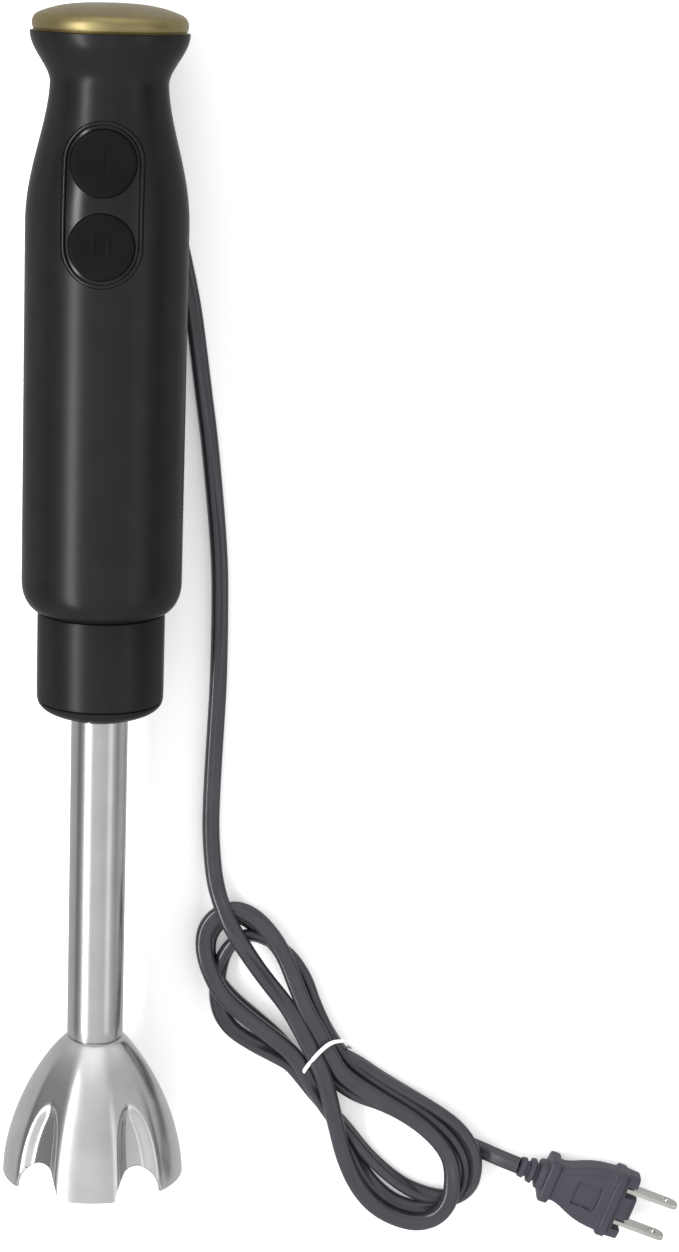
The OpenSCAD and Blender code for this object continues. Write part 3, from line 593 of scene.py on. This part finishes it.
panel_zs = lin(Z_PANEL - PANEL_H / 2 - 2, Z_PANEL + PANEL_H / 2 + 2, 90)
panel_angles = [math.radians(a) for a in lin(-128, -52, 90)]
skin = []
for inset in (0.7, 2.8):
    for z in panel_zs:
        r = handle_r(z) - inset
        skin.append([(r * math.cos(a), r * math.sin(a), z) for a in panel_angles])
n_z, n_a = len(panel_zs), len(panel_angles)
outer, inner = quads(n_z, n_a), [tuple(i + n_z * n_a for i in f) for f in quads(n_z, n_a)]
edge = ([i * n_a for i in range(n_z)] + [(n_z - 1) * n_a + j for j in range(1, n_a)]
        + [i * n_a + n_a - 1 for i in range(n_z - 2, -1, -1)] + list(range(n_a - 2, 0, -1)))
sides = [(a, b, b + n_z * n_a, a + n_z * n_a) for a, b in zip(edge, edge[1:] + edge[:1])]
panel = make("panel", [p for row in skin for p in row], outer + inner + sides)
outline = [stadium_ring(PANEL_W - 0.2, PANEL_H - 0.2, y, 72) for y in PANEL_CUT]
boolean(panel, loft("stadium", outline), "INTERSECT")
for z in Z_BUTTONS:
    boolean(panel, rod_along_y(0, z, BUTTON_R + BUTTON_GAP, -40, 0, 96), "DIFFERENCE")
shade(panel, 28)
finish_piece(panel, GLOSS_BLACK, "handle", "gloss_black", "button_panel")


def on_handle(x, z, lift):
    """Point on the casing's front, lifted off it."""
    r = handle_r(z) + lift
    return Vector((x, -math.sqrt(max(r * r - x * x, 0)), z))


loop = stadium_ring(PANEL_W - 1.1, PANEL_H - 1.1, 0, 60)
loop = [p for i, p in enumerate(loop) if (Vector(p) - Vector(loop[i - 1])).length > 1e-6]
dense = []
for p, q in zip(loop, loop[1:] + loop[:1]):
    parts = max(1, int((Vector(q) - Vector(p)).length / 0.8))
    dense += [tuple(Vector(p).lerp(Vector(q), k / parts)) for k in range(parts)]
rim_section = [(-0.55, -0.95), (-0.55, -0.15)]
rim_section += [(-0.5 * math.cos(a), 0.22 * math.sin(a)) for a in lin(0.25, math.pi - 0.25, 9)]
rim_section += [(0.55, -0.15), (0.55, -0.95)]
rings = []
for i, p in enumerate(dense):
    q, o = dense[(i + 1) % len(dense)], dense[i - 1]
    here = on_handle(p[0], p[2], 0)
    tangent = (on_handle(q[0], q[2], 0) - on_handle(o[0], o[2], 0)).normalized()
    out_dir = Vector((here.x, here.y, 0)).normalized()
    across = tangent.cross(out_dir).normalized()
    rings.append([here + across * a + out_dir * b for a, b in rim_section])
rim_line = loft("panel_rim", rings, smooth=40, loop=True)
finish_piece(rim_line, GLOSS_BLACK, "handle", "gloss_black", "button_panel")


def speed_button(name, z0, bars, body, node, back):
    """Dished round button that follows the casing, with raised bars and a rounded edge."""
    flat_r = BUTTON_R - 1.0
    rhos = lin(0, flat_r, 44) + [flat_r + math.sin(a) for a in lin(0.2, math.pi / 2, 7)]
    n = 176
    rings = []
    for rho in rhos:
        ring = []
        for j in range(n):
            a = 2 * math.pi * j / n
            x, dz = rho * math.cos(a), rho * math.sin(a)
            y = math.sqrt((handle_r(z0 + dz) + 0.5) ** 2 - x * x) - 1.7 * (1 - (rho / BUTTON_R) ** 2) ** 1.2
            over = max(rho - flat_r, 0)
            y -= 0.6 * (1 - math.sqrt(max(1 - over * over, 0)))
            for b in bars:
                y += 0.27 * ease((0.58 - abs(x - b)) / 0.34) * ease((3.7 - abs(dz)) / 0.5)
            ring.append((x, -y, z0 + dz))
        rings.append(ring)
    last = rings[-1]
    for depth in (0.35, 0.6, 1.0):
        mix = (depth - 0.35) / 0.65
        rings.append([(x, y * (1 - mix) + back * mix, z) for x, y, z in last])
    obj = loft(name, rings[1:], smooth=50)
    return finish_piece(obj, BUTTON_BLACK, body, "button_black", node)


speed_button("button_low_speed", Z_BUTTONS[0], [0], "button_1", "speed_button_1", -14.9)
speed_button("button_high_speed", Z_BUTTONS[1], [-BAR_OFFSET, BAR_OFFSET],
             "button_2", "speed_button_2", -18.9)

# ---------- rod: collar, tube and bell ----------

collar_profile = [(16.6, Z_SEAM + 0.15), (collar_under_r(Z_SEAM) - 0.3, Z_SEAM + 0.15),
                  (collar_under_r(Z_SEAM + 0.4), Z_SEAM + 0.4)]
collar_profile += [(collar_under_r(z), z) for z in lin(168.7, 171, 10)]
collar_profile += [(COLLAR_R, 172), (COLLAR_R, 185), (COLLAR_R, Z_COLLAR_TOP - 0.8),
                   (COLLAR_R - 0.25, Z_COLLAR_TOP - 0.25), (COLLAR_R - 0.8, Z_COLLAR_TOP),
                   (16, Z_COLLAR_TOP), (16, 209.6), (15.6, 210), (14, 210),
                   (14, 195.8), (18.8, 195.8), (18.8, Z_SEAM + 2.4), (16.6, Z_SEAM + 2.4)]
collar = revolve("collar", collar_profile, 180, smooth=30)
finish_piece(collar, COLLAR_BLACK, "rod", "soft_black", "rod_collar")
under_profile = [(TUBE_R + 0.02, Z_COLLAR + 0.3), (TUBE_R + 0.3, Z_COLLAR),
                 (collar_under_r(Z_COLLAR + 0.2), Z_COLLAR)]
under_profile += [(collar_under_r(z), z) for z in lin(Z_COLLAR + 0.4, Z_SEAM - 0.35, 16)]
under_profile += [(collar_under_r(Z_SEAM) - 0.35, Z_SEAM - 0.1), (16.5, Z_SEAM - 0.1), (16.5, Z_SEAM + 4),
                  (14.6, Z_SEAM + 4), (14.6, Z_SEAM - 2.5), (TUBE_R + 0.02, Z_SEAM - 2.5)]
under = revolve("collar_under", under_profile, 180, smooth=30)
finish_piece(under, COLLAR_BLACK, "rod", "soft_black", "collar_cap")
tube = revolve("tube_skin", fillet([(TUBE_R - 0.8, BELL_H)] + [(TUBE_R, z) for z in lin(BELL_H, 180, 30)]
                                   + [(TUBE_R - 0.8, 180)], 0.15, 2), 128, smooth=30)
finish_piece(tube, STEEL, "rod", "brushed_steel", "tube")

bell_angles = []
for k in range(5):
    bell_angles += [72 * k - FOOT_HALF + 2 * FOOT_HALF * i / 30 for i in range(30)]
    bell_angles += [72 * (k + 0.5) - ARCH_HALF * math.cos(math.pi * i / 46) for i in range(46)]
rings = []
BELL_ROWS = 60


def bell_point(a, z, inset):
    r = bell_out_r(a, z) - inset
    t = math.radians(a - 90)
    return (r * math.cos(t), r * math.sin(t), z)


def bell_ring(row, inset):
    """Ring of the bell, with rows closer together near its rim."""
    share = (row / BELL_ROWS) ** 1.25
    return [bell_point(a, rim_z(a) + (BELL_H - rim_z(a)) * share, inset) for a in bell_angles]


for row in range(BELL_ROWS, 0, -1):
    rings.append(bell_ring(row, 0))
for k in range(7):
    c = math.pi * k / 6
    lift, inset = BELL_WALL / 2 * (1 - math.sin(c)), BELL_WALL / 2 * (1 - math.cos(c))
    rings.append([bell_point(a, rim_z(a) + lift, inset) for a in bell_angles])
for row in range(1, BELL_ROWS + 1, 3):
    rings.append(bell_ring(row, BELL_WALL))
rings.append([bell_point(a, BELL_H, BELL_WALL) for a in bell_angles])
bell = loft("bell", rings, smooth=40, loop=True)
finish_piece(bell, BELL_STEEL, "rod", "brushed_steel", "bell_guard")

# ---------- cord bush, wire tie and plug ----------

bush_profile = [(1e-3, 0), (4.7, 0), (4.7, 6.8)]
for k, top in enumerate((4.2, 3.95, 3.7, 3.45)):
    z = 7.6 + 3.9 * k
    bush_profile += [(top, z), (top - 0.05, z + 2.3), (top - 0.75, z + 2.6), (top - 0.8, z + 3.6)]
bush_profile += [(3.2, 23.4), (3.0, 25.6), (2.7, 26), (1e-3, 26)]
bush = revolve("cord_guard", fillet(bush_profile, 0.35, 3), 56, aimed(bush_in, BUSH_DIR), 40)
finish_piece(bush, CORD_BLACK, "handle", "cord_black", "cord_bush")

tie_mid = Vector((78.4, -163.3, 0))
tie_dir = Vector((0.79, 0.613, 0))
bundle_dir = Vector((0.613, -0.79, 0))
TIE_HALF_W, TIE_HALF_T = 0.75, 0.45
# (across the bundle, height, along the bundle) round the tie
outline = [(-12.4, 3.0, 4.6), (-11.0, 0.95, 4.4), (-8.0, 0.75, 3.6), (6.5, 0.75, 3.6), (8.4, 0.95, 4.6),
           (9.6, 3.4, 4.2), (10.3, 6.6, 1.9), (10.4, 9.4, -0.6), (9.4, 11.2, -2.4), (7.4, 12.4, -3.8),
           (5.0, 12.9, -4.2), (1.8, 12.6, -3.7), (-1.8, 11.9, -2.7), (-7.2, 10.2, -0.6), (-10.6, 6.8, 2.2)]
tie_path, _ = smooth_path([(*p, 0) for p in outline + outline[:3]], 0.5)
start = int(np.argmin(np.linalg.norm(tie_path[:30, :3] - np.array(outline[1]), axis=1)))
from_end = int(np.argmin(np.linalg.norm(tie_path[::-1][:30, :3] - tie_path[start, :3], axis=1)))
tie_path = tie_path[start:len(tie_path) - 1 - from_end]
rings = []
for i in range(len(tie_path)):
    a, b = tie_path[i - 1], tie_path[(i + 1) % len(tie_path)]
    t = np.array([b[0] - a[0], b[1] - a[1]])
    t /= np.linalg.norm(t)
    out_2d = (t[1], -t[0])
    across, height, along_bundle = tie_path[i][:3]
    here = tie_mid + tie_dir * across + bundle_dir * along_bundle + Vector((0, 0, height))
    out_dir = tie_dir * out_2d[0] + Vector((0, 0, out_2d[1]))
    along = tie_dir.cross(Vector((0, 0, 1))).normalized()
    rings.append([here + along * TIE_HALF_W * math.cos(v) + out_dir * TIE_HALF_T * math.sin(v)
                  for v in (2 * math.pi * k / 14 for k in range(14))])
tie = loft("tie_band", rings, FLAT, 60, loop=True)
finish_piece(tie, TIE_WHITE, "handle", "tie_white", "wire_tie")

PLUG = FLAT @ Matrix.Translation(PLUG_POS) @ Matrix.Rotation(math.radians(PLUG_TURN), 4, "Z")
stations = [  # distance from the lead's end, half width, half thickness, squareness
    (0.0, 3.0, 2.6, 2.4), (0.3, 3.5, 3.1, 2.4), (1.9, 3.7, 3.3, 2.4), (2.15, 3.5, 3.1, 2.4),
    (2.3, 2.8, 2.5, 2.4), (3.3, 2.8, 2.5, 2.4), (3.5, 3.6, 3.2, 2.4), (3.8, 4.2, 3.8, 2.6),
    (5.2, 4.4, 4.0, 2.6), (5.5, 4.1, 3.7, 2.6), (5.65, 3.1, 2.8, 2.6), (6.6, 3.1, 2.8, 2.6),
    (6.8, 4.2, 4.0, 3), (7.1, 4.9, 4.6, 3.4), (9.2, 5.2, 5.0, 4), (9.45, 6.6, 5.6, 5),
    (9.7, 7.9, 6.2, 6), (10.2, 8.2, 6.4, 6), (12.6, 8.2, 6.4, 6), (13.05, 8.0, 6.2, 6), (13.3, 7.2, 5.8, 6),
    (13.8, 6.8, 5.5, 5), (15.5, 6.9, 5.5, 5), (18.0, 7.7, 5.6, 5), (21.0, 9.1, 5.7, 5),
    (24.0, 10.3, 5.7, 5),
    (27.0, 11.1, 5.8, 5), (30.0, 11.5, 5.8, 5), (32.6, 11.7, 5.9, 5), (33.2, 11.9, 6.0, 5.5),
    (33.5, 12.3, 6.4, 6), (33.9, 12.6, 6.7, 6.5), (36.2, 12.6, 6.7, 6.5), (36.6, 12.5, 6.5, 6.5),
    (36.9, 12.4, 5.7, 6), (37.2, 12.35, 5.2, 6), (41.3, 12.3, 4.6, 6), (41.6, 12.1, 4.4, 6),
    (41.7, 11.7, 4.1, 6),
    (41.75, 5.0, 3.7, 4), (43.0, 4.8, 3.5, 4), (43.3, 4.5, 3.2, 4), (43.4, 3.6, 2.4, 3)]
xs = sorted(set([round(v, 3) for v in np.arange(0, 43.4, 0.25)] + [s[0] for s in stations]))
sx = [s[0] for s in stations]
rings = []
n = 200
for x in xs:
    w, h, p = (float(np.interp(x, sx, [s[k] for s in stations])) for k in (1, 2, 3))
    ring = []
    for j in range(n):
        a = 2 * math.pi * (j + 0.5) / n
        ca, sa = math.cos(a), math.sin(a)
        rr = (abs(ca) ** p + abs(sa) ** p) ** (-1 / p)
        y, z = w * ca * rr, h * sa * rr
        dent = ease((4.7 - abs(x - 25.4)) / 0.35) * ease((4.5 - abs(y)) / 0.35) if abs(z) > 3 else 0
        z -= math.copysign(1.0, z) * dent
        ring.append((x, y, z))
    rings.append(ring)
plug = loft("plug_mould", rings, PLUG, 50)
for s in (-1, 1):
    slot = loft("slot", [[(x, s * BLADE_PITCH / 2 + 2.1 * u, 5.5 * v) for u, v in
                          ((-1, -1), (-1, 0), (-1, 1), (0, 1), (1, 1), (1, 0), (1, -1), (0, -1))]
                         for x in (38.2, 46)], PLUG)
    boolean(plug, slot, "DIFFERENCE")
shade(plug, 40)
finish_piece(plug, PLUG_BLACK, "handle", "plug_black", "plug_body")


def plug_blade(name, y0):
    """One flat blade with a bevelled, rounded tip and a hole."""
    x0, x1, h, t = 38.0, PLUG_LEN - 0.1, 3.175, 0.75
    hole_x, hole_r, hole_steps = PLUG_LEN - 4.6, 1.6, 40
    outline = [(x0, -h), (x1 - 2.2, -h), (x1 - 0.8, -h + 0.5), (x1 - 0.1, -h + 1.6), (x1, -1.0),
               (x1, 1.0), (x1 - 0.1, h - 1.6), (x1 - 0.8, h - 0.5), (x1 - 2.2, h), (x0, h)]
    border = []
    for p, q in zip(outline, outline[1:] + outline[:1]):
        parts = max(1, int(math.dist(p, q) / 0.7))
        border += [(p[0] + (q[0] - p[0]) * k / parts, p[1] + (q[1] - p[1]) * k / parts)
                   for k in range(parts)]
    obj = loft(name, [[(x, y0 + s, z) for x, z in
                       [(hole_x + (x - hole_x) * f, z * f) for x, z in border]]
                      for s, f in ((-t, 0.985), (-t + 0.12, 1), (t - 0.12, 1), (t, 0.985))], PLUG, 30)
    turns = [2 * math.pi * k / hole_steps for k in range(hole_steps)]
    hole = loft("hole", [[(hole_x + hole_r * math.cos(a), y0 + s, hole_r * math.sin(a)) for a in turns]
                         for s in (-2, 2)], PLUG)
    return boolean(obj, hole, "DIFFERENCE")


for s, name in ((-1, "blade_pin_low"), (1, "blade_pin_high")):
    pin = plug_blade(name, s * BLADE_PITCH / 2)
    shade(pin, 30)
    finish_piece(pin, NICKEL, "handle", "nickel", "plug_blades")

# ---------- return springs under the buttons ----------

SPRING_STEEL = material("spring_steel", [(0.50, 0.50, 0.50), (0.62, 0.62, 0.61)], (0.22, 0.34), metal=1.0,
                        brush=((1, 1, 20), 600, 2, 0.1))


BOARD_Y = -9.1


def return_spring(name, node, z0, y0, turns):
    """Closed-end compression spring on a button's axis, from its flange at y0 to the board."""
    coil_r, wire_r, per_turn, around, y1 = 6.2, 0.33, 40, 12, BOARD_Y
    rings, steps = [], int(turns * per_turn)
    for i in range(steps + 1):
        t = i / steps
        a = 2 * math.pi * turns * t
        rise = ease((t * turns - 0.6) / (turns - 1.2))
        y = y0 + 0.36 + (y1 - y0 - 0.72) * (0.12 * t + 0.88 * rise)
        ring = []
        for k in range(around):
            b = 2 * math.pi * k / around
            r = coil_r + wire_r * math.cos(b)
            ring.append((r * math.cos(a), y + wire_r * math.sin(b), z0 + r * math.sin(a)))
        rings.append(ring)
    spring = loft(name, rings, LAY, 60)
    finish_piece(spring, SPRING_STEEL, "handle", "spring_steel", node)
    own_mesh(spring)


return_spring("spring_low_speed", "button_spring_1", Z_BUTTONS[0], -14.7, 3)
return_spring("spring_high_speed", "button_spring_2", Z_BUTTONS[1], -18.7, 5)

# ---------- CAD nodes that keep their shape ----------

INNER = {
    "spring_steel": SPRING_STEEL,
    "board_green": material("board_green", [(0.03, 0.13, 0.05), (0.05, 0.18, 0.07)], (0.35, 0.5),
                            grain=(900, 0.3, 0.03), fleck=(500, 0.5, (0.5, 0.4, 0.2))),
    "switch_cream": material("switch_cream", [(0.62, 0.58, 0.48), (0.70, 0.66, 0.56)], (0.45, 0.6),
                             grain=(1200, 0.3, 0.03)),
    "chip_black": material("chip_black", [(0.02, 0.02, 0.02), (0.035, 0.035, 0.035)], (0.5, 0.65),
                           grain=(1600, 0.4, 0.04)),
    "capacitor_yellow": material("capacitor_yellow", [(0.60, 0.42, 0.05), (0.70, 0.50, 0.08)], (0.35, 0.5),
                                 grain=(900, 0.2, 0.03)),
    "wire_red": material("wire_red", [(0.35, 0.03, 0.03), (0.45, 0.05, 0.04)], (0.4, 0.55),
                         grain=(1500, 0.2, 0.03)),
    "zinc_steel": material("zinc_steel", [(0.52, 0.53, 0.55), (0.64, 0.64, 0.66)], (0.28, 0.42), metal=1.0,
                           grain=(700, 0.2, 0.03)),
    "ferrite": material("ferrite", [(0.05, 0.05, 0.055), (0.08, 0.08, 0.085)], (0.55, 0.7),
                        grain=(1400, 0.5, 0.05)),
    "bronze": material("bronze", [(0.50, 0.33, 0.15), (0.62, 0.43, 0.22)], (0.3, 0.45), metal=1.0,
                       grain=(1800, 0.4, 0.03)),
    "copper": material("copper", [(0.72, 0.34, 0.18), (0.82, 0.42, 0.24)], (0.22, 0.36), metal=1.0,
                       brush=((1, 30, 1), 500, 3, 0.25)),
    "rubber_black": material("rubber_black", [(0.02, 0.02, 0.02), (0.03, 0.03, 0.03)], (0.6, 0.75),
                             grain=(1000, 0.4, 0.05)),
    "soft_black": SOFT_BLACK, "champagne": CHAMPAGNE, "gloss_black": GLOSS_BLACK,
    "button_black": BUTTON_BLACK, "cord_black": CORD_BLACK, "brushed_steel": BELL_STEEL,
    "tie_white": TIE_WHITE, "plug_black": PLUG_BLACK, "nickel": NICKEL,
}
for node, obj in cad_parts.items():
    for s in obj.material_slots:
        base = (s.material.name if s.material else "").split(".")[0]
        if base in INNER:
            s.material = INNER[base]
        else:
            print("no finish for", node, base)
